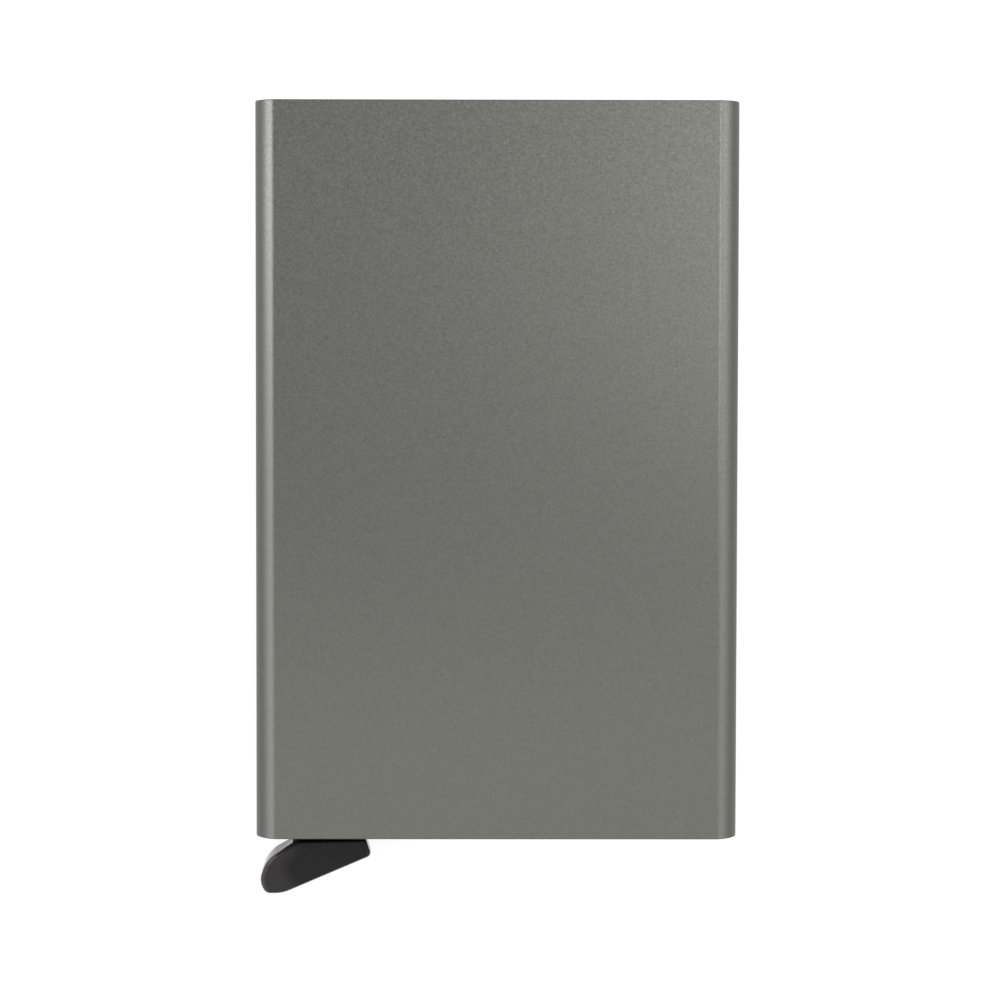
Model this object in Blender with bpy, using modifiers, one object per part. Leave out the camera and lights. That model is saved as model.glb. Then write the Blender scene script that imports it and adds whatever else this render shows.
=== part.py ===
"""Aluminium card holder: an extruded sleeve, a moulded plug with a lever on a steel pin, and two card grips.

It lies on its back. X runs across the width, Y along the length towards the open mouth, and Z up out of the
front face. The origin is the centre of the back face. Lengths are in metres.
"""

from math import asin, atan2, cos, hypot, pi, radians, sin, sqrt, tan

import bmesh
import bpy
from mathutils import Vector

# The extruded sleeve
SLEEVE_THICKNESS = 0.008
WALL = 0.001
SIDE_BULGE = 0.0024
CREASE_RADIUS = 0.0011
INNER_CREASE_RADIUS = 0.0003
RIM_CHAMFER = 0.00014

# A payment card, which the inside is made for
CARD_WIDTH = 0.05398
CARD_LENGTH = 0.0856

# Clearances
SEAT_GAP = 0.00025
LEVER_GAP = 0.0002
PIN_GAP = 0.00008
SOFT_GAP = 0.0002
ARM_WALL_GAP = 0.0004
CARD_SIDE_GAP = 0.0004
CARD_PILE_GAP = 0.0001
MOUTH_GAP = 0.0005
CUT_OVERRUN = 0.001

# The moulded plug
CARD_LINE_RISE = 0.0092
PLATE_RECESS = 0.0007
PLATE_THICKNESS = 0.0015
POST_RISE = 0.0008
CARD_REST_LENGTH = 0.007
CHEEK_RADIUS = 0.0033
CHEEK_WALL = 0.0004
LEFT_POST_THICKNESS = 0.0009
SNAP_STAND = 0.00045
SNAP_HEIGHT = 0.0011
SNAP_DEPTH = 0.0024
SNAP_RISE = 0.0035
SNAP_GROOVE_DEPTH = 0.0005
SNAP_GROOVE_GAP = 0.0003

# The pivot
HUB_RADIUS = 0.0026
HUB_SIDE_GAP = 0.00045
HUB_FOOT_GAP = 0.0004
PIN_RADIUS = 0.0009
PIN_CHAMFER = 0.0002

# The lever
TAB_REACH = 0.01513
TAB_DROP = 0.0076
TAB_EDGE_RADIUS = 0.00045
TAB_BACK_RADIUS = 0.0033
TAB_TIP_RADIUS = 0.0006
TAB_BELLY_RADIUS = 0.005
TAB_NOSE_RADIUS = 0.0006
TAB_BACK_SHARES = (0.013, 0.487)
TAB_TIP_SHARES = (0.074, 1)
TAB_BELLY_SHARES = (0.208, 0.991)
TAB_NOSE_SHARES = (1, 0.329)
NECK_RISE = 0.00015
NECK_RADIUS = 0.0004
HEEL_SETBACK = 0.0006
HEEL_DROP = 0.0003
HEEL_RADIUS = 0.0006
ARM_END_GAP = 0.002
ARM_SHORTEST = 0.014
ARM_LAYERS = 6
ARM_TIP_HEIGHT = 0.0034
ARM_TIP_RADIUS = 0.001
CHEEK_CLEARANCE = 0.0003

# The rails, foam and pile
RAIL_MOUTH_RECESS = 0.0015
RAIL_LEAD = 0.0006
RAIL_LEAD_LENGTH = 0.0025
RAIL_BACK = 0.00101
RAIL_LIP = 0.00085
CHANNEL_DEPTH = 0.0016
CHANNEL_END = 0.0035
FOAM_THICKNESS = 0.0005
PILE_CROWN = 0.0003
SOFT_EDGE_RADIUS = 0.00012

# Facets
SIDE_STEPS = 20
CREASE_STEPS = 5
ROUND_STEPS = 10
PIN_STEPS = 32
BEVEL_STEPS = 3
WELD = 0.000005
SAME_PLANE = radians(0.1)
SHARP_EDGE = radians(50)
SMOOTH_EDGE = radians(30)

# Derived sizes and places
SLEEVE_LENGTH = CARD_LINE_RISE + CARD_LENGTH + MOUTH_GAP
HALF_WIDTH = CARD_WIDTH / 2 + CARD_SIDE_GAP + CHANNEL_DEPTH + RAIL_BACK + SEAT_GAP + WALL
MIDDLE_Z = SLEEVE_THICKNESS / 2
LOWER_END = -SLEEVE_LENGTH / 2
MOUTH = SLEEVE_LENGTH / 2
SIDE_RADIUS = (MIDDLE_Z ** 2 + SIDE_BULGE ** 2) / (2 * SIDE_BULGE)
SIDE_CENTRE = HALF_WIDTH - SIDE_RADIUS
PLUG_INSET = WALL + SEAT_GAP
PLUG_HALF_DEPTH = MIDDLE_Z - PLUG_INSET
PLUG_SIDE = HALF_WIDTH - PLUG_INSET
PLATE_BOTTOM = LOWER_END + PLATE_RECESS
PLATE_TOP = PLATE_BOTTOM + PLATE_THICKNESS
CARD_LINE = LOWER_END + CARD_LINE_RISE
REST_START = CARD_WIDTH / 2 - CARD_REST_LENGTH
POST_TOP = CARD_LINE + POST_RISE
POST_FACE = -PLUG_SIDE + LEFT_POST_THICKNESS
PIVOT_X = POST_FACE + HUB_SIDE_GAP + HUB_RADIUS
PIVOT_Y = PLATE_TOP + HUB_FOOT_GAP + HUB_RADIUS
BAY_HALF = PLUG_HALF_DEPTH - CHEEK_WALL
TAB_HALF = BAY_HALF - LEVER_GAP
ARM_HALF_DEPTH = MIDDLE_Z - WALL - ARM_WALL_GAP
ARM_START = CHEEK_RADIUS + CHEEK_CLEARANCE
ARM_REACH = REST_START - ARM_END_GAP - PIVOT_X
ARM_STEP = (ARM_REACH - ARM_SHORTEST) / (ARM_LAYERS - 1)
ARM_TOP = CARD_LINE - PIVOT_Y
ARM_UNDERSIDE = PLATE_TOP + CHEEK_CLEARANCE - PIVOT_Y
RAIL_FACE = CARD_WIDTH / 2 + CARD_SIDE_GAP
RAIL_FOOT = POST_TOP + SEAT_GAP
RAIL_END = MOUTH - RAIL_MOUTH_RECESS
CHANNEL_START = RAIL_FOOT + CHANNEL_END
CHANNEL_STOP = RAIL_END - CHANNEL_END
CHANNEL_FLOOR = RAIL_FACE + CHANNEL_DEPTH
CHANNEL_HALF = PLUG_HALF_DEPTH - RAIL_LIP
SOFT_HALF_DEPTH = CHANNEL_HALF - SOFT_GAP


def clear_scene():
    """Remove everything, so that only this object is in the scene."""
    for old in list(bpy.data.objects):
        bpy.data.objects.remove(old, do_unlink=True)
    for old in list(bpy.data.collections):
        bpy.data.collections.remove(old)


def new_collection(name):
    collection = bpy.data.collections.new(name)
    bpy.context.scene.collection.children.link(collection)
    return collection


def new_material(name, colour, metallic, roughness):
    material = bpy.data.materials.new(name)
    material.use_nodes = True
    shader = material.node_tree.nodes["Principled BSDF"]
    shader.inputs["Base Color"].default_value = (*colour, 1)
    shader.inputs["Metallic"].default_value = metallic
    shader.inputs["Roughness"].default_value = roughness
    material.diffuse_color = (*colour, 1)
    return material


def as_helper(obj):
    """Hide a shape that only cuts or joins another one."""
    obj.hide_render = True
    obj.display_type = "WIRE"
    return obj


def outline_solid(name, collection, outline, half_depth, place, along_length=False):
    """A flat outline made thick: drawn in XY, or in XZ with its thickness along the length."""
    curve = bpy.data.curves.new(name, "CURVE")
    curve.dimensions = "2D"
    curve.fill_mode = "BOTH"
    curve.extrude = half_depth
    spline = curve.splines.new("POLY")
    spline.points.add(len(outline) - 1)
    for point, (across, up) in zip(spline.points, outline):
        point.co = (across, up, 0, 1)
    spline.use_cyclic_u = True
    guide = bpy.data.objects.new(name + "_outline", curve)
    collection.objects.link(guide)
    guide.location = place
    if along_length:
        guide.rotation_euler = (pi / 2, 0, 0)
    bpy.context.view_layer.update()
    graph = bpy.context.evaluated_depsgraph_get()
    mesh = bpy.data.meshes.new_from_object(guide.evaluated_get(graph))
    mesh.name = name
    obj = bpy.data.objects.new(name, mesh)
    collection.objects.link(obj)
    obj.matrix_world = guide.matrix_world
    bpy.data.objects.remove(guide, do_unlink=True)
    bpy.data.curves.remove(curve)
    shape = bmesh.new()
    shape.from_mesh(mesh)
    bmesh.ops.remove_doubles(shape, verts=shape.verts, dist=WELD)
    bmesh.ops.dissolve_limit(shape, angle_limit=SAME_PLANE, verts=shape.verts, edges=shape.edges)
    bmesh.ops.recalc_face_normals(shape, faces=shape.faces)
    shape.to_mesh(mesh)
    shape.free()
    return obj


def box(name, collection, low, high):
    """A block between two corners."""
    mesh = bpy.data.meshes.new(name)
    shape = bmesh.new()
    bmesh.ops.create_cube(shape, size=1)
    middle = (Vector(low) + Vector(high)) / 2
    sides = Vector(high) - Vector(low)
    bmesh.ops.scale(shape, vec=sides, verts=shape.verts)
    shape.to_mesh(mesh)
    shape.free()
    obj = bpy.data.objects.new(name, mesh)
    collection.objects.link(obj)
    obj.location = middle
    return obj


def rod(name, collection, radius, length, place):
    """A round bar along Z."""
    mesh = bpy.data.meshes.new(name)
    shape = bmesh.new()
    bmesh.ops.create_cone(
        shape, cap_ends=True, segments=PIN_STEPS, radius1=radius, radius2=radius, depth=length
    )
    shape.to_mesh(mesh)
    shape.free()
    obj = bpy.data.objects.new(name, mesh)
    collection.objects.link(obj)
    obj.location = place
    return obj


def combine(obj, tool, operation):
    modifier = obj.modifiers.new(tool.name, "BOOLEAN")
    modifier.operation = operation
    modifier.solver = "EXACT"
    modifier.object = as_helper(tool)


def cut(obj, tool):
    combine(obj, tool, "DIFFERENCE")


def join(obj, tool):
    combine(obj, tool, "UNION")


def round_edges(obj, width, steps):
    modifier = obj.modifiers.new("rounded_edges", "BEVEL")
    modifier.width = width
    modifier.segments = steps
    modifier.limit_method = "ANGLE"
    modifier.angle_limit = SHARP_EDGE
    modifier.use_clamp_overlap = False


def shade_round(obj):
    obj.data.shade_smooth()
    obj.data.set_sharp_from_angle(angle=SMOOTH_EDGE)


def arc(centre, radius, start, stop, steps):
    """Points on a circle from one angle to another, both ends included."""
    points = []
    for step in range(steps + 1):
        angle = start + (stop - start) * step / steps
        points.append((centre[0] + radius * cos(angle), centre[1] + radius * sin(angle)))
    return points


def rounded_corner(before, corner, after, radius):
    """The arc that rounds one corner of an outline."""
    back = (Vector(before) - Vector(corner)).normalized()
    ahead = (Vector(after) - Vector(corner)).normalized()
    half_angle = back.angle(ahead) / 2
    middle = (back + ahead).normalized()
    centre = Vector(corner) + middle * (radius / sin(half_angle))
    start = Vector(corner) + back * (radius / tan(half_angle)) - centre
    stop = Vector(corner) + ahead * (radius / tan(half_angle)) - centre
    first = atan2(start.y, start.x)
    turn = atan2(start.x * stop.y - start.y * stop.x, start.dot(stop))
    return arc(centre, radius, first, first + turn, ROUND_STEPS)


def rounded_outline(corners):
    """A closed outline from corners, each with the radius that rounds it, or zero for a sharp one."""
    outline = []
    for index, (across, up, radius) in enumerate(corners):
        if not radius:
            outline.append((across, up))
            continue
        before = corners[index - 1][:2]
        after = corners[(index + 1) % len(corners)][:2]
        outline += rounded_corner(before, (across, up), after, radius)
    return outline


def sleeve_section(inset, crease_radius):
    """The sleeve's cross-section, moved in from its outer faces by the inset, about its own centre."""
    half_depth = MIDDLE_Z - inset
    side_radius = SIDE_RADIUS - inset
    crease_z = half_depth - crease_radius
    crease_x = SIDE_CENTRE + sqrt((side_radius - crease_radius) ** 2 - crease_z ** 2)
    meeting = atan2(crease_z, crease_x - SIDE_CENTRE)
    upper = arc((crease_x, crease_z), crease_radius, pi / 2, meeting, CREASE_STEPS)
    side = arc((SIDE_CENTRE, 0), side_radius, meeting, -meeting, SIDE_STEPS)
    lower = [(x, -z) for x, z in reversed(upper)]
    right = upper + side[1:-1] + lower
    left = [(-x, -z) for x, z in right]
    return right + left


def make_sleeve(parts, cutters):
    sleeve = outline_solid(
        "housing_sleeve",
        parts,
        sleeve_section(0, CREASE_RADIUS),
        SLEEVE_LENGTH / 2,
        (0, 0, MIDDLE_Z),
        along_length=True,
    )
    bore = outline_solid(
        "sleeve_bore",
        cutters,
        sleeve_section(WALL, INNER_CREASE_RADIUS),
        SLEEVE_LENGTH / 2 + CUT_OVERRUN,
        (0, 0, MIDDLE_Z),
        along_length=True,
    )
    cut(sleeve, bore)
    round_edges(sleeve, RIM_CHAMFER, 1)
    groove_floor = HALF_WIDTH - WALL + SNAP_GROOVE_DEPTH
    groove_half_height = SNAP_HEIGHT / 2 + SNAP_GROOVE_GAP
    groove_half_depth = SNAP_DEPTH / 2 + SNAP_GROOVE_GAP
    groove_y = PLATE_BOTTOM + SNAP_RISE
    grooves = box(
        "snap_grooves",
        cutters,
        (-groove_floor, groove_y - groove_half_height, MIDDLE_Z - groove_half_depth),
        (groove_floor, groove_y + groove_half_height, MIDDLE_Z + groove_half_depth),
    )
    cut(sleeve, grooves)
    shade_round(sleeve)
    return sleeve


def tab_corner(shares):
    """A corner of the finger tab, from the pivot."""
    left = -HALF_WIDTH - PIVOT_X
    lower = LOWER_END - PIVOT_Y
    return left + shares[0] * TAB_REACH, lower - shares[1] * TAB_DROP


def swing_radius():
    """How far the tab's nose is from the pivot."""
    across, down = tab_corner(TAB_NOSE_SHARES)
    return hypot(across, down)


def slot_ends():
    """The left and right ends of the slot that the tab swings through."""
    left = PIVOT_X - HEEL_SETBACK
    lowest = PIVOT_Y - PLATE_TOP
    right = PIVOT_X + sqrt(swing_radius() ** 2 - lowest ** 2) + CHEEK_CLEARANCE
    return left, right


def make_base(parts, cutters):
    half_height = (POST_TOP - PLATE_BOTTOM) / 2
    base = outline_solid(
        "base_frame",
        parts,
        sleeve_section(PLUG_INSET, INNER_CREASE_RADIUS),
        half_height,
        (0, PLATE_BOTTOM + half_height, MIDDLE_Z),
        along_length=True,
    )
    low_z = -CUT_OVERRUN
    high_z = SLEEVE_THICKNESS + CUT_OVERRUN
    above = POST_TOP + CUT_OVERRUN
    cheek = arc((0, 0), CHEEK_RADIUS, 0, pi, 2 * ROUND_STEPS)
    foot = PLATE_BOTTOM - PIVOT_Y
    cheek += [(-CHEEK_RADIUS, foot), (CHEEK_RADIUS, foot)]
    cheeks = outline_solid("pin_cheeks", cutters, cheek, SLEEVE_THICKNESS, (PIVOT_X, PIVOT_Y, MIDDLE_Z))
    well = box("plug_well", cutters, (POST_FACE, PLATE_TOP, low_z), (REST_START, above, high_z))
    cut(well, cheeks)
    cut(base, well)
    card_step = box(
        "card_step", cutters, (REST_START - CUT_OVERRUN, CARD_LINE, low_z), (RAIL_FACE, above, high_z)
    )
    cut(base, card_step)

    for side, name in ((-1, "left"), (1, "right")):
        inner = side * (PLUG_SIDE - SNAP_STAND)
        outer = side * (PLUG_SIDE + SNAP_STAND)
        snap_y = PLATE_BOTTOM + SNAP_RISE
        ridge = box(
            name + "_snap_ridge",
            cutters,
            (min(inner, outer), snap_y - SNAP_HEIGHT / 2, MIDDLE_Z - SNAP_DEPTH / 2),
            (max(inner, outer), snap_y + SNAP_HEIGHT / 2, MIDDLE_Z + SNAP_DEPTH / 2),
        )
        join(base, ridge)

    slot_left, slot_right = slot_ends()
    bay = box(
        "hub_bay",
        cutters,
        (POST_FACE, PLATE_TOP, MIDDLE_Z - BAY_HALF),
        (PIVOT_X + CHEEK_RADIUS + CUT_OVERRUN, above, MIDDLE_Z + BAY_HALF),
    )
    cut(base, bay)
    slot = box(
        "lever_slot",
        cutters,
        (slot_left, PLATE_BOTTOM - CUT_OVERRUN, MIDDLE_Z - BAY_HALF),
        (slot_right, PLATE_TOP + CUT_OVERRUN, MIDDLE_Z + BAY_HALF),
    )
    cut(base, slot)
    pivot = (PIVOT_X, PIVOT_Y, MIDDLE_Z)
    hole = rod("pin_hole", cutters, PIN_RADIUS + PIN_GAP, SLEEVE_THICKNESS, pivot)
    cut(base, hole)
    shade_round(base)
    return base


def make_pin(parts):
    pin = rod("pivot_pin", parts, PIN_RADIUS, 2 * PLUG_HALF_DEPTH, (PIVOT_X, PIVOT_Y, MIDDLE_Z))
    round_edges(pin, PIN_CHAMFER, 1)
    shade_round(pin)
    return pin


def lever_outline():
    """The lever's plan about the pivot: the finger tab, the neck through the slot, the hub and the heel."""
    root_x = ARM_START + HUB_RADIUS
    top = ARM_TOP - HEEL_DROP
    corners = [
        (0, LOWER_END + NECK_RISE - PIVOT_Y, NECK_RADIUS),
        (*tab_corner(TAB_BACK_SHARES), TAB_BACK_RADIUS),
        (*tab_corner(TAB_TIP_SHARES), TAB_TIP_RADIUS),
        (*tab_corner(TAB_BELLY_SHARES), TAB_BELLY_RADIUS),
        (*tab_corner(TAB_NOSE_SHARES), TAB_NOSE_RADIUS),
        (root_x, 0, 0),
        (root_x, top, 0),
        (-HEEL_SETBACK, top, HEEL_RADIUS),
        (-HUB_RADIUS, 0, 0),
        (0, -HUB_RADIUS, 0),
    ]
    hub = arc((0, 0), HUB_RADIUS, pi, 3 * pi / 2, ROUND_STEPS)
    return rounded_outline(corners)[:-2] + hub


def make_lever(parts, cutters):
    pivot = (PIVOT_X, PIVOT_Y, MIDDLE_Z)
    lever = outline_solid("eject_lever", parts, lever_outline(), TAB_HALF, pivot)
    round_edges(lever, TAB_EDGE_RADIUS, BEVEL_STEPS)
    join(lever, make_stepped_arm(cutters))
    hole = rod("lever_pin_hole", cutters, PIN_RADIUS + PIN_GAP, SLEEVE_THICKNESS, pivot)
    cut(lever, hole)
    shade_round(lever)
    return lever


def make_stepped_arm(cutters):
    """The arm seen from the mouth is a staircase: the layer at the back is the longest."""
    layer = 2 * ARM_HALF_DEPTH / ARM_LAYERS
    stair = [(ARM_START, -ARM_HALF_DEPTH)]
    for index in range(ARM_LAYERS):
        reach = ARM_REACH - index * ARM_STEP
        stair.append((reach, -ARM_HALF_DEPTH + index * layer))
        stair.append((reach, -ARM_HALF_DEPTH + (index + 1) * layer))
    stair.append((ARM_START, ARM_HALF_DEPTH))
    half_height = (ARM_TOP - ARM_UNDERSIDE) / 2
    place = (PIVOT_X, PIVOT_Y + ARM_UNDERSIDE + half_height, MIDDLE_Z)
    arm = outline_solid("stepped_arm", cutters, stair, half_height, place, along_length=True)
    round_tips(arm)
    tip_bottom = ARM_TOP - ARM_TIP_HEIGHT
    beyond = ARM_REACH + CUT_OVERRUN
    slope = (tip_bottom - ARM_UNDERSIDE) / (ARM_REACH - ARM_SHORTEST)
    below = ARM_UNDERSIDE - CUT_OVERRUN
    relief = [
        (ARM_SHORTEST - CUT_OVERRUN / slope, below),
        (beyond, below),
        (beyond, tip_bottom + slope * CUT_OVERRUN),
    ]
    underside = outline_solid(
        "arm_relief", cutters, relief, SLEEVE_THICKNESS / 2, (PIVOT_X, PIVOT_Y, MIDDLE_Z)
    )
    cut(arm, underside)
    return arm


def round_tips(arm):
    """Round the upper edge of each layer's tip, which slides along a card as the arm rises."""
    mesh = arm.data
    weights = mesh.attributes.new("bevel_weight_edge", "FLOAT", "EDGE")
    place = arm.matrix_world
    for edge in mesh.edges:
        first, second = (place @ mesh.vertices[index].co for index in edge.vertices)
        upright = abs(first.x - second.x) + abs(first.y - second.y) < WELD
        on_top = abs(first.y - PIVOT_Y - ARM_TOP) < WELD
        at_tip = first.x - PIVOT_X > ARM_START + WELD
        weights.data[edge.index].value = float(upright and on_top and at_tip)
    modifier = arm.modifiers.new("rounded_tips", "BEVEL")
    modifier.limit_method = "WEIGHT"
    modifier.width = ARM_TIP_RADIUS
    modifier.segments = BEVEL_STEPS


def make_rail(name, side, parts, cutters):
    """A rail whose back follows the sleeve's rounded side, with a channel for the foam and the pile."""
    section = sleeve_section(PLUG_INSET, INNER_CREASE_RADIUS)
    outline = [(side * x, z) for x, z in section if x > RAIL_FACE]
    outline = [(side * RAIL_FACE, PLUG_HALF_DEPTH), *outline, (side * RAIL_FACE, -PLUG_HALF_DEPTH)]
    half_length = (RAIL_END - RAIL_FOOT) / 2
    place = (0, RAIL_FOOT + half_length, MIDDLE_Z)
    rail = outline_solid(name, parts, outline, half_length, place, along_length=True)
    inner = side * (RAIL_FACE - CUT_OVERRUN)
    floor = side * CHANNEL_FLOOR
    channel = box(
        name + "_channel",
        cutters,
        (min(inner, floor), CHANNEL_START, MIDDLE_Z - CHANNEL_HALF),
        (max(inner, floor), CHANNEL_STOP, MIDDLE_Z + CHANNEL_HALF),
    )
    cut(rail, channel)
    slope = RAIL_LEAD / RAIL_LEAD_LENGTH
    lead = [
        (side * (RAIL_FACE - slope * CUT_OVERRUN), RAIL_END - RAIL_LEAD_LENGTH - CUT_OVERRUN),
        (side * (RAIL_FACE + RAIL_LEAD + slope * CUT_OVERRUN), RAIL_END + CUT_OVERRUN),
        (side * (RAIL_FACE - slope * CUT_OVERRUN), RAIL_END + CUT_OVERRUN),
    ]
    lead_in = outline_solid(name + "_lead_in", cutters, lead, SLEEVE_THICKNESS / 2, (0, 0, MIDDLE_Z))
    cut(rail, lead_in)
    shade_round(rail)
    return rail


def make_foam(name, side, parts):
    outer = side * (CHANNEL_FLOOR - SOFT_GAP)
    inner = side * (CHANNEL_FLOOR - SOFT_GAP - FOAM_THICKNESS)
    foam = box(
        name,
        parts,
        (min(inner, outer), CHANNEL_START + SOFT_GAP, MIDDLE_Z - SOFT_HALF_DEPTH),
        (max(inner, outer), CHANNEL_STOP - SOFT_GAP, MIDDLE_Z + SOFT_HALF_DEPTH),
    )
    round_edges(foam, SOFT_EDGE_RADIUS, 1)
    return foam


def make_pile(name, side, parts):
    """A strip of velour whose pile side is slightly crowned."""
    back = CHANNEL_FLOOR - 2 * SOFT_GAP - FOAM_THICKNESS
    face = CARD_WIDTH / 2 + CARD_PILE_GAP
    crown_radius = (SOFT_HALF_DEPTH ** 2 + PILE_CROWN ** 2) / (2 * PILE_CROWN)
    spread = asin(SOFT_HALF_DEPTH / crown_radius)
    crown = arc((face + crown_radius, 0), crown_radius, pi - spread, pi + spread, ROUND_STEPS)
    outline = [(side * x, z) for x, z in [*crown, (back, -SOFT_HALF_DEPTH), (back, SOFT_HALF_DEPTH)]]
    start = CHANNEL_START + SOFT_GAP
    half_length = (CHANNEL_STOP - SOFT_GAP - start) / 2
    place = (0, start + half_length, MIDDLE_Z)
    pile = outline_solid(name, parts, outline, half_length, place, along_length=True)
    shade_round(pile)
    return pile


def make_card_holder():
    clear_scene()
    parts = new_collection("card_holder")
    cutters = new_collection("cutters")
    cutters.hide_render = True

    anodised = new_material("anodised_aluminium", (0.17, 0.175, 0.155), 1, 0.42)
    moulded = new_material("black_nylon", (0.02, 0.02, 0.022), 0, 0.45)
    lever_plastic = new_material("black_acetal", (0.026, 0.024, 0.025), 0, 0.35)
    steel = new_material("bright_steel", (0.55, 0.55, 0.54), 1, 0.25)
    rail_plastic = new_material("dark_rail_plastic", (0.024, 0.024, 0.026), 0, 0.55)
    foam = new_material("grey_foam", (0.09, 0.09, 0.092), 0, 0.95)
    velour = new_material("black_velour", (0.014, 0.014, 0.015), 0, 1)

    finishes = [
        (make_sleeve(parts, cutters), anodised),
        (make_base(parts, cutters), moulded),
        (make_pin(parts), steel),
        (make_lever(parts, cutters), lever_plastic),
    ]
    for side, name in ((-1, "left"), (1, "right")):
        finishes.append((make_rail(name + "_side_rail", side, parts, cutters), rail_plastic))
        finishes.append((make_foam(name + "_foam_backing", side, parts), foam))
        finishes.append((make_pile(name + "_pile_strip", side, parts), velour))
    origin = bpy.data.objects.new("card_holder_origin", None)
    parts.objects.link(origin)
    for obj, material in finishes:
        obj.data.materials.clear()
        obj.data.materials.append(material)
        obj.parent = origin


make_card_holder()
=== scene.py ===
"""Aluminium card holder with a lever that pushes the cards out, lying on its back on a white table."""

from math import atan2, cos, pi, radians, sin, sqrt

import bmesh
import bpy
import numpy as np
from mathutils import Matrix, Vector


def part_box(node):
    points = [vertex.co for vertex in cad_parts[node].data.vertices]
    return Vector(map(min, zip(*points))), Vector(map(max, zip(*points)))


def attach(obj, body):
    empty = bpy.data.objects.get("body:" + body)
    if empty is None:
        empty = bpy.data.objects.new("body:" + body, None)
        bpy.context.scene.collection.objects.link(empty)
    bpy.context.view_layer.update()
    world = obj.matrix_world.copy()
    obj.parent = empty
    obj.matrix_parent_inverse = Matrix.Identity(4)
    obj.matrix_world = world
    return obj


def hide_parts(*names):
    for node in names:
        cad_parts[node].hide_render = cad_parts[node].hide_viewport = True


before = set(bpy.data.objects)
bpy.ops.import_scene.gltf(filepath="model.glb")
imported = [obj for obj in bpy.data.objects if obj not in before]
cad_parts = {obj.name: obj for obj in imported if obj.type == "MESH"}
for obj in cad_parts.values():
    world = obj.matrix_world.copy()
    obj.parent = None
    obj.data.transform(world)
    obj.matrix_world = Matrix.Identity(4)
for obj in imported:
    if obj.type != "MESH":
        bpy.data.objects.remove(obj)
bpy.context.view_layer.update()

# The sleeve
# A thin-walled aluminium tube with two flat faces and two rounded sides. It is extruded, sawn to
# length, its rims are broken with a fine chamfer, and it is blasted and anodised grey-green. The
# blasted grain's colour contrast is painted stronger towards the mouth and weaker towards the end with
# the lever: a painted sparkle, standing in for a harder side light that makes the grain glint more
# there.
SIDE_BULGE = 0.0024
CREASE_RADIUS = 0.0015
WALL = 0.001
RIM_CHAMFER = 0.00014
SNAP_GROOVE_DEPTH = 0.0005
SNAP_GROOVE_GAP = 0.0003
SNAP_RISE = 0.0035
SNAP_HEIGHT = 0.0011
SNAP_DEPTH = 0.0024
FLAT_RIM = 0.0001
CREASE_STEPS = 8
SIDE_STEPS = 40
RIM_STEPS = 3
HAIR = 0.00001
SHARP_RIM = radians(60)
SMOOTH_BELOW = radians(35)
ANODISED = (0.0985, 0.100, 0.0905)
GRAIN_CONTRAST = 0.26
GRAIN_BY_LEVER = 0.7
GRAIN_AND_SPARKLE_BY_MOUTH = 2.0
MOTTLE_SHARE = 0.06
BLAST_DEPTH = 0.00002


def take_up(piece):
    """Make this piece the only selected and active one, in object mode."""
    if bpy.context.mode != "OBJECT":
        bpy.ops.object.mode_set(mode="OBJECT")
    bpy.ops.object.select_all(action="DESELECT")
    piece.select_set(True)
    bpy.context.view_layer.objects.active = piece


def finish_with(piece, kind, **settings):
    """Add a modifier with these settings and apply it."""
    take_up(piece)
    modifier = piece.modifiers.new(kind.lower(), kind)
    for name, value in settings.items():
        setattr(modifier, name, value)
    bpy.ops.object.modifier_apply(modifier=modifier.name)


def block(name, low, high):
    """A block between two corners, as a start for a piece or as a cutter."""
    bpy.ops.object.select_all(action="DESELECT")
    bpy.ops.mesh.primitive_cube_add(size=1, enter_editmode=True)
    bpy.ops.transform.resize(value=Vector(high) - Vector(low))
    bpy.ops.transform.translate(value=(Vector(low) + Vector(high)) / 2)
    bpy.ops.object.mode_set(mode="OBJECT")
    made = bpy.context.object
    made.name = name
    return made


def combine(piece, other, operation):
    """Cut another shape out of the piece, or weld it on. The other shape is used up."""
    finish_with(piece, "BOOLEAN", object=other, operation=operation, solver="EXACT")
    bpy.data.objects.remove(other)


def smooth_over(piece, angle):
    """Shade the piece smooth, except across edges that turn by more than this angle."""
    take_up(piece)
    bpy.ops.object.shade_smooth_by_angle(angle=angle)


class Level:
    """What a node gives out, to feed another. Arithmetic on a number adds Math nodes to its recipe."""

    def __init__(self, recipe, socket):
        self.recipe = recipe
        self.socket = socket

    def worked(self, operation, first, second):
        return self.recipe.node("ShaderNodeMath", {"operation": operation}, {0: first, 1: second})

    def __add__(self, other):
        return self.worked("ADD", self, other)

    def __radd__(self, other):
        return self.worked("ADD", other, self)

    def __sub__(self, other):
        return self.worked("SUBTRACT", self, other)

    def __rsub__(self, other):
        return self.worked("SUBTRACT", other, self)

    def __mul__(self, other):
        return self.worked("MULTIPLY", self, other)

    def __rmul__(self, other):
        return self.worked("MULTIPLY", other, self)


class Recipe:
    """The nodes of a material or of the surroundings."""

    def __init__(self, owner):
        owner.use_nodes = True
        self.tree = owner.node_tree

    def node(self, kind, settings, sockets, output=0):
        """A node of this kind, with its settings made first, and then its sockets filled or linked."""
        made = self.tree.nodes.new(kind)
        for name, value in settings.items():
            setattr(made, name, value)
        for name, value in sockets.items():
            if isinstance(value, Level):
                self.tree.links.new(value.socket, made.inputs[name])
            else:
                made.inputs[name].default_value = value
        return Level(self, made.outputs[output])

    def seen_ray(self):
        """1 for what the camera, a reflection or a clear thing sees, and 0 for light on a dull one."""
        camera, glossy, clear = (
            self.node("ShaderNodeLightPath", {}, {}, f"Is {kind} Ray")
            for kind in ("Camera", "Glossy", "Transmission")
        )
        return self.node("ShaderNodeMath", {"use_clamp": True}, {0: camera + glossy, 1: clear})


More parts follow.
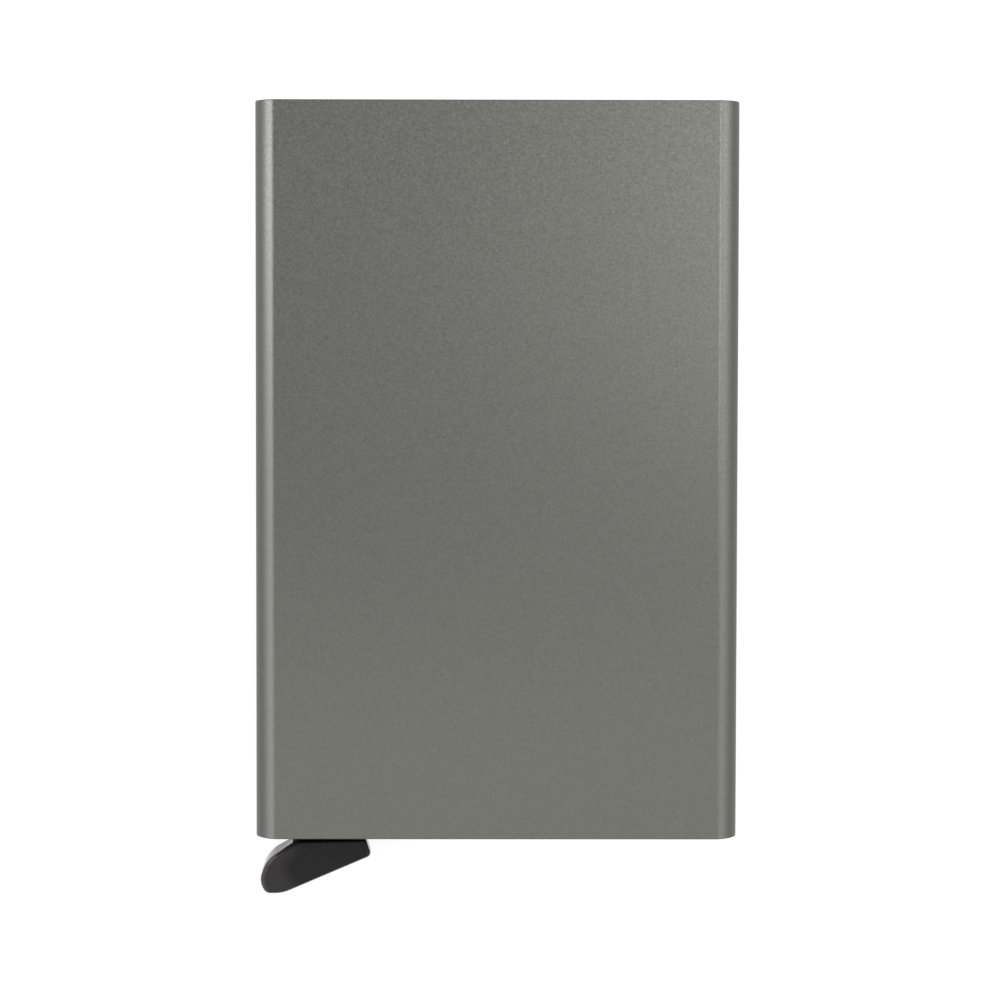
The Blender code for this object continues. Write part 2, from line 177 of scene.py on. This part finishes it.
class Finish(Recipe):
    """A material with one Principled shader, whose colour and roughness start at their averages."""

    def __init__(self, name, colour, roughness, metallic=0, **constants):
        self.material = bpy.data.materials.new(name)
        super().__init__(self.material)
        self.shader = self.tree.nodes["Principled BSDF"]
        self.shader.inputs["Base Color"].default_value = (*colour, 1)
        self.shader.inputs["Roughness"].default_value = roughness
        self.shader.inputs["Metallic"].default_value = metallic
        for socket, value in constants.items():
            self.shader.inputs[socket.replace("_", " ")].default_value = value
        self.material.diffuse_color = (*colour, 1)
        self.place = self.node("ShaderNodeTexCoord", {}, {}, "Object")

    def stretched(self, scale):
        """The place on the surface, scaled by a different amount along each axis."""
        return self.node("ShaderNodeMapping", {}, {"Vector": self.place, "Scale": scale})

    def noise(self, scale, detail=2, roughness=0.5):
        """Noise from 0 to 1 about 0.5, at this many waves a metre along each axis."""
        place = self.stretched(scale)
        sockets = {"Vector": place, "Scale": 1, "Detail": detail, "Roughness": roughness}
        return self.node("ShaderNodeTexNoise", {}, sockets, "Fac")

    def ramp(self, level, low, high):
        """The level spread so that low becomes 0 and high becomes 1."""
        sockets = {"Value": level, "From Min": low, "From Max": high}
        return self.node("ShaderNodeMapRange", {}, sockets)

    def blend(self, share, first, second):
        """A colour between two, by a share that varies."""
        # A Mix node takes its share at input 0 and colours at inputs 6 and 7. Its colour is output 2.
        settings = {"data_type": "RGBA", "blend_type": "MIX"}
        return self.node("ShaderNodeMix", settings, {0: share, 6: (*first, 1), 7: (*second, 1)}, 2)

    def bump(self, height, strength, distance):
        """Fine relief. A height of 1 stands out by the distance, and strength is how much shows."""
        sockets = {"Height": height, "Strength": strength, "Distance": distance}
        self.feed("Normal", self.node("ShaderNodeBump", {}, sockets, "Normal"))

    def feed(self, socket, level):
        self.tree.links.new(level.socket, self.shader.inputs[socket])

    def cover(self, piece):
        piece.data.materials.clear()
        piece.data.materials.append(self.material)


def shaded(colour, share):
    """A colour made darker or lighter by a share."""
    return tuple(part * share for part in colour)


sleeve_low, sleeve_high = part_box("housing_sleeve")
sleeve_length = sleeve_high.y - sleeve_low.y
middle_z = (sleeve_low.z + sleeve_high.z) / 2
side_radius = (middle_z ** 2 + SIDE_BULGE ** 2) / (2 * SIDE_BULGE)
side_centre = sleeve_high.x - side_radius
crease_rise = middle_z - CREASE_RADIUS
crease_x = side_centre + sqrt((side_radius - CREASE_RADIUS) ** 2 - crease_rise ** 2)
crease_turn = pi / 2 - atan2(crease_rise, crease_x - side_centre)
flat_x = crease_x - FLAT_RIM

# The right half starts as its front face. The face's right edge is then swept round the crease, the
# side and the other crease, and drawn back along the back face.
bpy.ops.object.select_all(action="DESELECT")
bpy.ops.mesh.primitive_plane_add(size=1, enter_editmode=True)
bpy.ops.transform.resize(value=(flat_x, sleeve_length, 1))
bpy.ops.transform.translate(value=(flat_x / 2, 0, sleeve_high.z))
bpy.ops.mesh.select_mode(type="EDGE")
bpy.ops.mesh.select_all(action="DESELECT")
flat_face = bmesh.from_edit_mesh(bpy.context.edit_object.data)
for edge in flat_face.edges:
    if all(corner.co.x > flat_x - HAIR for corner in edge.verts):
        edge.select_set(True)
bmesh.update_edit_mesh(bpy.context.edit_object.data)
bpy.ops.mesh.extrude_region_move(TRANSFORM_OT_translate={"value": (FLAT_RIM, 0, 0)})
for steps, turn, centre in (
    (CREASE_STEPS, crease_turn, (crease_x, 0, middle_z + crease_rise)),
    (SIDE_STEPS, pi - 2 * crease_turn, (side_centre, 0, middle_z)),
    (CREASE_STEPS, crease_turn, (crease_x, 0, middle_z - crease_rise)),
):
    bpy.ops.mesh.spin(steps=steps, angle=-turn, center=centre, axis=(0, 1, 0))
bpy.ops.mesh.extrude_region_move(TRANSFORM_OT_translate={"value": (-FLAT_RIM, 0, 0)})
bpy.ops.mesh.extrude_region_move(TRANSFORM_OT_translate={"value": (-flat_x, 0, 0)})
bpy.ops.mesh.select_all(action="SELECT")
bpy.ops.mesh.remove_doubles(threshold=HAIR)
bpy.ops.mesh.normals_make_consistent(inside=False)
bpy.ops.object.mode_set(mode="OBJECT")
sleeve = bpy.context.object
sleeve.name = "anodised_sleeve"
finish_with(sleeve, "MIRROR", merge_threshold=HAIR)
finish_with(sleeve, "SOLIDIFY", thickness=WALL, offset=-1, use_even_offset=True)
base_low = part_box("base_frame")[0]
groove = Vector((
    sleeve_high.x - WALL + SNAP_GROOVE_DEPTH,
    SNAP_HEIGHT / 2 + SNAP_GROOVE_GAP,
    SNAP_DEPTH / 2 + SNAP_GROOVE_GAP,
))
groove_middle = Vector((0, base_low.y + SNAP_RISE, middle_z))
combine(sleeve, block("snap_grooves", groove_middle - groove, groove_middle + groove), "DIFFERENCE")
finish_with(
    sleeve, "BEVEL", width=RIM_CHAMFER, segments=RIM_STEPS, limit_method="ANGLE",
    angle_limit=SHARP_RIM, use_clamp_overlap=False,
)
smooth_over(sleeve, SMOOTH_BELOW)
anodised = Finish(
    "grey_anodised_aluminium", ANODISED, 0.38, metallic=1, Specular_Tint=(0.85, 0.85, 0.85, 1)
)
grain = anodised.noise((4200, 4000, 4200), roughness=0.48)
mottle = anodised.noise((900, 700, 900))
along = anodised.node("ShaderNodeSeparateXYZ", {}, {"Vector": anodised.place}, "Y")
towards_mouth = anodised.ramp(along, sleeve_low.y, sleeve_high.y)
# Painted sparkle: the grain's colour contrast grows towards the mouth, in place of a harder side light
# there. The grain itself and the mottle are the metal's own tone.
grain_and_painted_sparkle = GRAIN_BY_LEVER + (GRAIN_AND_SPARKLE_BY_MOUTH - GRAIN_BY_LEVER) * towards_mouth * towards_mouth
tone = 0.5 + grain_and_painted_sparkle * (grain - 0.5) + MOTTLE_SHARE * (mottle - 0.5)
darkest = shaded(ANODISED, 1 - GRAIN_CONTRAST)
palest = shaded(ANODISED, 1 + GRAIN_CONTRAST)
anodised.feed("Base Color", anodised.blend(tone, darkest, palest))
anodised.feed("Roughness", 0.36 + 0.01 * mottle + 0.04 * grain)
anodised.bump(grain, 0.1, BLAST_DEPTH)
anodised.cover(sleeve)
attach(sleeve, "housing")
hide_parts("housing_sleeve")

# The plug
# A black glass-filled nylon moulding that closes the lower end. It snaps into the sleeve behind two
# ridges, carries the lever's pin between two cheeks, and has the slot that the finger tab swings in.
EDGE_BREAK = 0.00008
EDGE_STEPS = 2
SHARP_EDGE = radians(40)
WELD_GAP = 0.0000025
SPARK_DEPTH = 0.00003


def from_cad(name, node):
    """A closed copy of a CAD piece with its edges broken."""
    piece = bpy.data.objects.new(name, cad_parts[node].data.copy())
    bpy.context.scene.collection.objects.link(piece)
    take_up(piece)
    bpy.ops.object.mode_set(mode="EDIT")
    bpy.ops.mesh.select_all(action="SELECT")
    bpy.ops.mesh.remove_doubles(threshold=WELD_GAP)
    bpy.ops.mesh.dissolve_limited(angle_limit=radians(1))
    bpy.ops.object.mode_set(mode="OBJECT")
    finish_with(
        piece, "BEVEL", width=EDGE_BREAK, segments=EDGE_STEPS, limit_method="ANGLE",
        angle_limit=SHARP_EDGE,
    )
    smooth_over(piece, SMOOTH_BELOW)
    return piece


plug = from_cad("moulded_plug", "base_frame")
nylon = Finish(
    "black_glass_filled_nylon", (0.011, 0.0108, 0.0113), 0.5, Specular_Tint=(0.4, 0.4, 0.4, 1)
)
spark = nylon.noise((4200, 4200, 4200), detail=3, roughness=0.6)
flow = nylon.noise((160, 420, 160))
nylon.feed(
    "Base Color",
    nylon.blend(nylon.ramp(flow, 0.3, 0.7), (0.009, 0.0088, 0.0093), (0.0138, 0.0135, 0.0142)),
)
nylon.feed("Roughness", 0.42 + 0.16 * spark)
nylon.bump(spark, 0.35, SPARK_DEPTH)
nylon.cover(plug)
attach(plug, "housing")
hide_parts("base_frame")

# The pin
# A ground stainless steel dowel with a broken edge at each end. It is pushed through the cheeks and
# the lever's hub, and the sleeve's two faces keep it in.
PIN_CHAMFER = 0.00022
PIN_SIDES = 48
GRINDING_DEPTH = 0.000004
pin_low, pin_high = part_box("pivot_pin")
pin_middle = (pin_low + pin_high) / 2
bpy.ops.object.select_all(action="DESELECT")
bpy.ops.mesh.primitive_cylinder_add(
    vertices=PIN_SIDES,
    radius=(pin_high.x - pin_low.x) / 2,
    depth=pin_high.z - pin_low.z,
    enter_editmode=True,
)
bpy.ops.transform.translate(value=pin_middle)
bpy.ops.object.mode_set(mode="OBJECT")
pin = bpy.context.object
pin.name = "steel_pin"
finish_with(
    pin, "BEVEL", width=PIN_CHAMFER, segments=RIM_STEPS, limit_method="ANGLE", angle_limit=SHARP_RIM
)
smooth_over(pin, SHARP_EDGE)
steel = Finish("ground_stainless_steel", (0.55, 0.55, 0.54), 0.28, metallic=1)
grinding = steel.noise((300, 300, 14000))
steel.feed("Base Color", steel.blend(grinding, (0.48, 0.48, 0.47), (0.62, 0.62, 0.61)))
steel.feed("Roughness", 0.2 + 0.16 * grinding)
steel.bump(grinding, 0.2, GRINDING_DEPTH)
steel.cover(pin)
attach(pin, "housing")
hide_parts("pivot_pin")

# The lever
# One black acetal moulding. The finger tab outside has a soft-rimmed face, whose colour is painted paler
# at its left end as a painted highlight, standing in for light that a broader rounding of its rim would
# catch there, and a back that leans out towards its foot. A thinner neck goes through the plug's slot to
# a hub on the pin, and inside a stepped arm lifts each card less than the one before.

# Each corner of the tab has its place at the foot and at the face, from the sleeve's lower left
# corner, then its radius, then how wide the face's rim is rounded along the side after the corner.
TAB_CORNERS = (
    ((0.0044, -0.00064), (0.00562, -0.00052), 0.0012, 0.0003),
    ((0.01425, -0.00032), (0.01433, -0.00032), 0.0005, 0.0007),
    ((0.01502, -0.00246), (0.01508, -0.00246), 0.00065, 0.0004),
    ((0.00343, -0.00746), (0.00343, -0.00746), 0.0049, 0.0005),
    ((0.00125, -0.00746), (0.00125, -0.00746), 0.001, 0.00075),
    ((0.0006, -0.0063), (0.00064, -0.0063), 0.0021, 0.0009),
    ((0.00052, -0.00512), (0.00058, -0.0053), 0.0018, 0.0009),
    ((0.00123, -0.00299), (0.0011, -0.00385), 0.0036, 0.0007),
    ((0.00241, -0.00169), (0.00183, -0.00286), 0.0036, 0.0004),
)
TAB_DEPTH = 0.0043
TAB_CORNER_STEPS = 6
TAB_TIGHTEST = 0.00002
TAB_FOOT_RADIUS = 0.0005
TAB_FACE_DROP = 0.0008
TAB_RIM_STEPS = 8
TAB_FLAT_RING = 0.0001
NECK_HEEL = 0.00045
NECK_INSET = 0.0002
NECK_THINNING = 0.0012
NECK_LAP = 0.0004
TRIM_MARGIN = 0.001
SKIN_DEPTH = 0.00002
# The face keeps its dark colour round this point. A painted highlight starts and is full at these
# distances from it, and comes in over the next distance on its left.
HIGHLIGHT_FREE_MIDDLE = (0.00595, -0.00405)
HIGHLIGHT_FROM = 0.0014
HIGHLIGHT_FULL = 0.0031
HIGHLIGHT_SIDE = 0.0012
PAINTED_HIGHLIGHT_PALENESS = 0.42
tab_foot = pin_middle.z - TAB_DEPTH / 2


def drawn_in(first, second, first_inset, second_inset):
    """From a corner to where its two sides meet, when each moves along its own inward direction."""
    shared = first.dot(second)
    along_first = first_inset - shared * second_inset
    along_second = second_inset - shared * first_inset
    return (along_first * first + along_second * second) / (1 - shared ** 2)


def tab_outline(height, insets):
    """The points round the tab at this height, with each of its sides moved in by its inset."""
    places = [Vector(foot).lerp(Vector(face), height / TAB_DEPTH) for foot, face, _, _ in TAB_CORNERS]
    ways = [(after - place).normalized() for place, after in zip(places, places[1:] + places[:1])]
    inward = [Vector((way.y, -way.x)) for way in ways]
    outline = []
    for number, (place, corner) in enumerate(zip(places, TAB_CORNERS)):
        first, second = inward[number - 1], inward[number]
        radius = max(corner[2] - max(insets[number - 1], insets[number]), TAB_TIGHTEST)
        centre = place + drawn_in(first, second, insets[number - 1] + radius, insets[number] + radius)
        for step in range(TAB_CORNER_STEPS + 1):
            point = centre - radius * first.slerp(second, step / TAB_CORNER_STEPS)
            outline.append(Vector((sleeve_low.x + point.x, sleeve_low.y + point.y, tab_foot + height)))
    return outline


# The tab is built up ring by ring: round its foot, round the rim of its face, and onto the face.
rim_turns = [pi / 2 * step / TAB_RIM_STEPS for step in range(TAB_RIM_STEPS + 1)]
foot_rim = [
    (TAB_FOOT_RADIUS * (1 - cos(turn)), [TAB_FOOT_RADIUS * (1 - sin(turn))] * len(TAB_CORNERS))
    for turn in rim_turns
]
rim_widths = [corner[3] for corner in TAB_CORNERS]
face_rim = [
    (TAB_DEPTH - TAB_FACE_DROP * (1 - sin(turn)), [width * (1 - cos(turn)) for width in rim_widths])
    for turn in rim_turns
]
flat_ring = [(TAB_DEPTH, [width + TAB_FLAT_RING for width in rim_widths])]
bpy.ops.object.select_all(action="DESELECT")
bpy.ops.mesh.primitive_circle_add(
    vertices=len(TAB_CORNERS) * (TAB_CORNER_STEPS + 1), fill_type="NGON", enter_editmode=True
)
rings = [tab_outline(height, insets) for height, insets in foot_rim + face_rim + flat_ring]
for number, ring in enumerate(rings):
    if number:
        bpy.ops.mesh.extrude_region_move()
    shape = bmesh.from_edit_mesh(bpy.context.edit_object.data)
    top = next(face for face in shape.faces if face.select)
    for vertex, place in zip(top.verts, ring):
        vertex.co = place
    bmesh.update_edit_mesh(bpy.context.edit_object.data)
bpy.ops.mesh.select_all(action="SELECT")
bpy.ops.mesh.normals_make_consistent(inside=False)
bpy.ops.object.mode_set(mode="OBJECT")
tab = bpy.context.object
tab.name = "finger_tab"

# The CAD lever's own tab is cut off at the sleeve's end. The neck and the new tab are welded on.
lever = from_cad("push_lever", "eject_lever")
lever_low, lever_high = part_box("eject_lever")
trim_low = lever_low - Vector((TRIM_MARGIN, TRIM_MARGIN, TRIM_MARGIN))
trim_high = (lever_high.x + TRIM_MARGIN, sleeve_low.y + NECK_LAP, lever_high.z + TRIM_MARGIN)
combine(lever, block("tab_trimmer", trim_low, trim_high), "DIFFERENCE")
left_shoulder, right_shoulder = (Vector(foot) for foot, _, _, _ in TAB_CORNERS[:2])
neck_low = (
    pin_middle.x - NECK_HEEL,
    sleeve_low.y + left_shoulder.y - NECK_LAP,
    tab_foot + NECK_THINNING,
)
neck_high = (
    sleeve_low.x + right_shoulder.x - NECK_INSET,
    base_low.y + NECK_LAP,
    tab_foot + TAB_DEPTH - NECK_THINNING,
)
combine(lever, block("lever_neck", neck_low, neck_high), "UNION")
combine(lever, tab, "UNION")
smooth_over(lever, SMOOTH_BELOW)
finish_with(lever, "WEIGHTED_NORMAL", keep_sharp=True)
acetal = Finish(
    "black_satin_acetal", (0.0085, 0.0077, 0.008), 0.2, Specular_Tint=(0.1, 0.1, 0.1, 1),
    Coat_Weight=0.42, Coat_IOR=1.22, Coat_Roughness=0.14,
)
skin = acetal.noise((5200, 5200, 5200), roughness=0.55)
drift = acetal.noise((330, 330, 330))
highlight_free_middle = Vector((
    sleeve_low.x + HIGHLIGHT_FREE_MIDDLE[0],
    sleeve_low.y + HIGHLIGHT_FREE_MIDDLE[1],
    tab_foot + TAB_DEPTH,
))
away = acetal.node(
    "ShaderNodeVectorMath", {"operation": "DISTANCE"}, {0: acetal.place, 1: highlight_free_middle}, "Value"
)
across = acetal.node("ShaderNodeSeparateXYZ", {}, {"Vector": acetal.place}, "X")
highlight_side = acetal.ramp(across, highlight_free_middle.x, highlight_free_middle.x - HIGHLIGHT_SIDE)
# Painted highlight: the face's colour is made paler towards its left end, standing in for light that a
# broad rounding of its rim would catch. The skin and drift noise add random tone.
painted_highlight = acetal.ramp(away, HIGHLIGHT_FROM, HIGHLIGHT_FULL) * highlight_side
tone_and_painted_highlight = 0.22 + PAINTED_HIGHLIGHT_PALENESS * painted_highlight + 0.9 * (skin - 0.5) + 0.1 * (drift - 0.5)
acetal.feed("Base Color", acetal.blend(tone_and_painted_highlight, (0.0015, 0.0013, 0.0014), (0.0255, 0.0235, 0.0245)))
acetal.feed("Roughness", 0.14 + 0.06 * skin + 0.04 * drift)
acetal.bump(skin, 0.1, SKIN_DEPTH)
acetal.cover(lever)
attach(lever, "lever")
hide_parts("eject_lever")

# The side rails
# Two dark plastic mouldings that fill the sleeve's rounded sides and guide the edges of the cards.
# Each has a channel along it for its foam and its pile, and opens out slightly at the mouth.
rail_plastic = Finish("dark_rail_plastic", (0.022, 0.022, 0.024), 0.55, Specular_IOR_Level=0.35)
rail_grain = rail_plastic.noise((3000, 3000, 3000), detail=3, roughness=0.6)
draw_marks = rail_plastic.noise((2400, 60, 2400), detail=1)
rail_plastic.feed(
    "Base Color",
    rail_plastic.blend(draw_marks, (0.018, 0.018, 0.02), (0.027, 0.027, 0.029)),
)
rail_plastic.feed("Roughness", 0.46 + 0.18 * rail_grain)
rail_plastic.bump(0.7 * rail_grain + 0.3 * draw_marks, 0.3, SPARK_DEPTH)
for side in ("left", "right"):
    rail = from_cad(side + "_card_rail", side + "_side_rail")
    rail_plastic.cover(rail)
    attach(rail, "housing")
    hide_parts(side + "_side_rail")

# The foam
# A strip of grey closed-cell foam in the back of each rail's channel, which pushes the pile out
# against the cards.
FOAM_CELL = 0.0003
FOAM_EDGE = 0.0001
FOAM_CUTS = 3
CELL_DEPTH = 0.00006
foam_finish = Finish("grey_closed_cell_foam", (0.09, 0.09, 0.092), 0.95)
cell_sockets = {"Vector": foam_finish.place, "Scale": 1 / FOAM_CELL}
cells = foam_finish.node("ShaderNodeTexVoronoi", {"feature": "F1"}, cell_sockets, "Distance")
foam_finish.feed("Base Color", foam_finish.blend(cells, (0.105, 0.105, 0.107), (0.06, 0.06, 0.062)))
foam_finish.feed("Roughness", 0.9 + 0.08 * cells)
foam_finish.bump(1 - cells, 0.8, CELL_DEPTH)
for side in ("left", "right"):
    low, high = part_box(side + "_foam_backing")
    foam = block(side + "_foam_strip", low, high)
    finish_with(foam, "BEVEL", width=FOAM_EDGE, segments=EDGE_STEPS)
    bpy.ops.object.mode_set(mode="EDIT")
    bpy.ops.mesh.select_all(action="SELECT")
    bpy.ops.mesh.subdivide(number_cuts=FOAM_CUTS)
    bpy.ops.object.mode_set(mode="OBJECT")
    smooth_over(foam, SHARP_EDGE)
    foam_finish.cover(foam)
    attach(foam, "housing")
    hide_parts(side + "_foam_backing")

# The pile strips
# Black velour on a woven tape, glued to the foam. Its short upright tufts touch the edges of the
# cards, and hold them when the holder is turned over.
TAPE_THICKNESS = 0.00028
TUFT_PITCH = 0.0002
TUFT_RADIUS = 0.00009
TUFT_LEAN = 0.0001
TUFT_SIDES = 5
SHORTEST_TUFT = 0.82
TUFT_SEED = 7
SMOOTH_TUFT = radians(60)
YARN_DEPTH = 0.00005
velour = Finish("black_velour_pile", (0.014, 0.014, 0.015), 0.9, Sheen_Weight=0.4, Sheen_Roughness=0.4)
yarn = velour.noise((1500, 1500, 1500))
velour.feed("Base Color", velour.blend(yarn, (0.008, 0.008, 0.009), (0.022, 0.022, 0.0235)))
velour.feed("Roughness", 0.84 + 0.12 * yarn)
velour.bump(yarn, 0.5, YARN_DEPTH)
rng = np.random.default_rng(TUFT_SEED)
for side, inward in (("left", 1), ("right", -1)):
    low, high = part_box(side + "_pile_strip")
    back = low.x if inward > 0 else high.x
    tip = high.x if inward > 0 else low.x
    tape_face = back + inward * TAPE_THICKNESS
    tape_low = (min(back, tape_face), low.y, low.z)
    tape_high = (max(back, tape_face), high.y, high.z)
    tape = block(side + "_pile", tape_low, tape_high)
    finish_with(tape, "BEVEL", width=TUFT_RADIUS / 2, segments=EDGE_STEPS)
    # One tuft is repeated in rows and columns. Each then leans its own way and is cut to its own height.
    bpy.ops.object.select_all(action="DESELECT")
    bpy.ops.mesh.primitive_cone_add(
        vertices=TUFT_SIDES,
        radius1=TUFT_RADIUS,
        radius2=TUFT_RADIUS / 2,
        depth=abs(tip - tape_face),
        enter_editmode=True,
    )
    bpy.ops.transform.rotate(value=inward * pi / 2, orient_axis="Y", center_override=(0, 0, 0))
    margin = TUFT_RADIUS + TUFT_LEAN
    rows = int((high.z - low.z - 2 * margin) / TUFT_PITCH) + 1
    columns = int((high.y - low.y - 2 * margin) / TUFT_PITCH) + 1
    lowest_row = (low.z + high.z - (rows - 1) * TUFT_PITCH) / 2
    bpy.ops.transform.translate(value=((tip + tape_face) / 2, low.y + margin, lowest_row))
    bpy.ops.object.mode_set(mode="OBJECT")
    tuft = bpy.context.object
    tuft_points = len(tuft.data.vertices)
    for count, step in ((rows, (0, 0, TUFT_PITCH)), (columns, (0, TUFT_PITCH, 0))):
        finish_with(
            tuft, "ARRAY", count=count, use_relative_offset=False, use_constant_offset=True,
            constant_offset_displace=step,
        )
    points = np.empty(len(tuft.data.vertices) * 3)
    tuft.data.vertices.foreach_get("co", points)
    points = points.reshape(-1, tuft_points, 3)
    rise = np.abs(points[:, :, 0] - tape_face) / abs(tip - tape_face)
    points[:, :, 1:] += rise[:, :, None] * rng.uniform(-TUFT_LEAN, TUFT_LEAN, (len(points), 1, 2))
    height = rng.uniform(SHORTEST_TUFT, 1, (len(points), 1))
    points[:, :, 0] = tape_face + (points[:, :, 0] - tape_face) * height
    tuft.data.vertices.foreach_set("co", points.ravel())
    take_up(tape)
    tuft.select_set(True)
    bpy.ops.object.join()
    smooth_over(tape, SMOOTH_TUFT)
    velour.cover(tape)
    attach(tape, "housing")
    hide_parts(side + "_pile_strip")

# The table
# A wide white table top. The camera and reflections see it nearly white all over, with only a faint
# shadow of the holder on it.
TABLE_SIZE = 12
TABLE_GLOW = 1.05
GLOW_SHARE = 0.8
bpy.ops.object.select_all(action="DESELECT")
bpy.ops.mesh.primitive_plane_add(size=TABLE_SIZE)
table = bpy.context.object
table.name = "white_table"
table_top = Finish("white_table_top", (0.8, 0.8, 0.8), 0.9)
glow = table_top.node("ShaderNodeEmission", {}, {"Strength": TABLE_GLOW})
dull = Level(table_top, table_top.shader.outputs["BSDF"])
glow_share = GLOW_SHARE * table_top.seen_ray()
both = table_top.node("ShaderNodeMixShader", {}, {0: glow_share, 1: dull, 2: glow})
table_top.tree.links.new(both.socket, table_top.tree.nodes["Material Output"].inputs["Surface"])
table_top.cover(table)

# The surroundings
# A white studio all round. The camera and reflections see it white, and it lights dull things less.
ROOM_LIGHT = 0.75
room = bpy.data.worlds.new("white_studio")
bpy.context.scene.world = room
surroundings = Recipe(room)
backdrop = surroundings.tree.nodes["Background"]
backdrop.inputs["Color"].default_value = (1, 1, 1, 1)
brightness = ROOM_LIGHT + (1 - ROOM_LIGHT) * surroundings.seen_ray()
surroundings.tree.links.new(brightness.socket, backdrop.inputs["Strength"])

# The lamps
# Soft panels stand at the two sides and draw the bright bands down the rounded sides: a strong one
# by the mouth and a weak one by the lever. Two hang over the face, which they brighten at the upper
# right and at the lower end. Each has a place, the way it faces, a size, a colour and its watts.
LEFT, RIGHT, DOWN = Vector((-1, 0, 0)), Vector((1, 0, 0)), Vector((0, 0, -1))
LAMPS = {
    "left_mouth_panel": ((-0.3, 0.15, 0.205), RIGHT, (0.2, 0.39), (1, 0.97, 1), 1.4),
    "left_lever_panel": ((-0.3, -0.2, 0.205), RIGHT, (0.5, 0.39), (1, 1, 1), 1.3),
    "right_mouth_panel": ((0.3, 0.15, 0.205), LEFT, (0.2, 0.39), (1, 0.96, 1), 0.8),
    "right_lever_panel": ((0.3, -0.2, 0.205), LEFT, (0.5, 0.39), (1, 1, 1), 0.92),
    "upper_face_panel": ((0.15, 0.18, 0.4), DOWN, (0.1, 0.36), (1, 1, 0.99), 0.85),
    "lower_face_panel": ((0, -0.23, 0.4), DOWN, (0.72, 0.26), (1, 1, 0.97), 0.58),
}
for name, (place, facing, size, colour, power) in LAMPS.items():
    light = bpy.data.lights.new(name, "AREA")
    light.shape = "RECTANGLE"
    light.size, light.size_y = size
    light.color = colour
    light.energy = power
    lamp = bpy.data.objects.new(name, light)
    bpy.context.scene.collection.objects.link(lamp)
    lamp.location = place
    lamp.rotation_euler = facing.to_track_quat("-Z", "Y").to_euler()
    lamp.visible_camera = False

# The camera
# It looks down on the face from about 45 cm, from a little towards the mouth.
CAMERA_PLACE = (-0.003807, 0.020599, 0.454829)
CAMERA_PITCH = radians(3.058)
CAMERA_YAW = radians(0.4875)
CAMERA_ROLL = radians(0.108)
CAMERA_LENS = 125.903
camera = bpy.data.objects.new("camera", bpy.data.cameras.new("camera"))
bpy.context.scene.collection.objects.link(camera)
camera.location = CAMERA_PLACE
camera.rotation_mode = "ZXY"
camera.rotation_euler = (-CAMERA_PITCH, -CAMERA_YAW, CAMERA_ROLL)
camera.data.sensor_width = 36
camera.data.lens = CAMERA_LENS
camera.data.clip_start = 0.01
bpy.context.scene.camera = camera
bpy.context.scene.view_settings.view_transform = "Standard"
